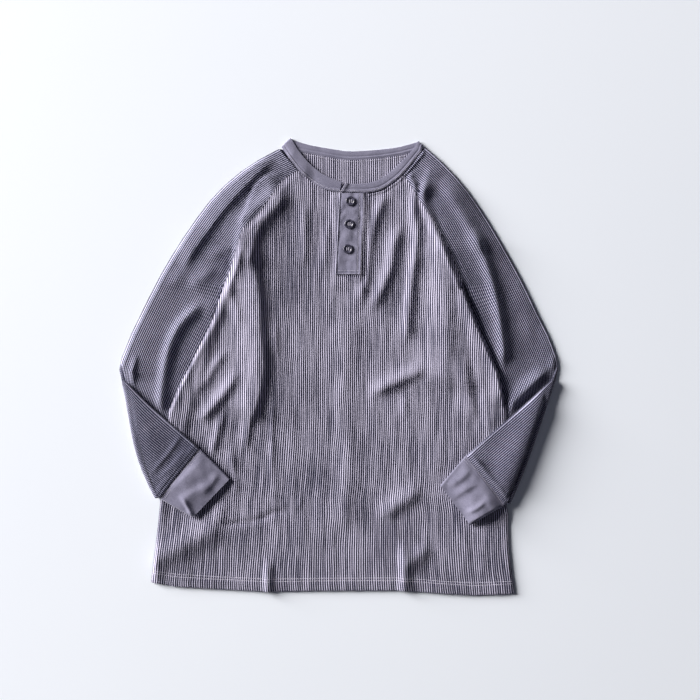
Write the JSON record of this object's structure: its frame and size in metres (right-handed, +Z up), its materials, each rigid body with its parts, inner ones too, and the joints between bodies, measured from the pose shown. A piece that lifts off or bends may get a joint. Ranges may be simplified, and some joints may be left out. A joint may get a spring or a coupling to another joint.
{
  "type": "thermal top",
  "caption": "Long-sleeved raglan henley in ribbed thermal knit, laid flat face up with both sleeves folded over the front; neckband, buttoned placket and cuffs in smooth jersey.",
  "frame": {"origin": "on the floor under the middle of the laid garment", "axes": "+Z up from the floor, +Y from the hem towards the neck, +X towards the wearer's left sleeve, which is on the right seen from above"},
  "size_m": [0.6811, 0.7099, 0.0151],
  "materials": {
    "body_knit": "vertical ribbed thermal knit, matt, grey-mauve",
    "sleeve_knit": "fine waffle thermal knit, matt, grey-mauve",
    "smooth_jersey": "fine smooth jersey, matt, grey-mauve",
    "button_plastic": "dyed to match, satin, four holes"
  },
  "bodies": {
    "root": {"body_front": "body_knit", "body_back": "body_knit", "sleeve_right": "sleeve_knit", "sleeve_left": "sleeve_knit", "cuff_right": "smooth_jersey", "cuff_left": "smooth_jersey", "neckband": "smooth_jersey", "placket_top": "smooth_jersey", "placket_under": "smooth_jersey", "button_1": "button_plastic", "button_2": "button_plastic", "button_3": "button_plastic"}
  },
  "joints": []
}
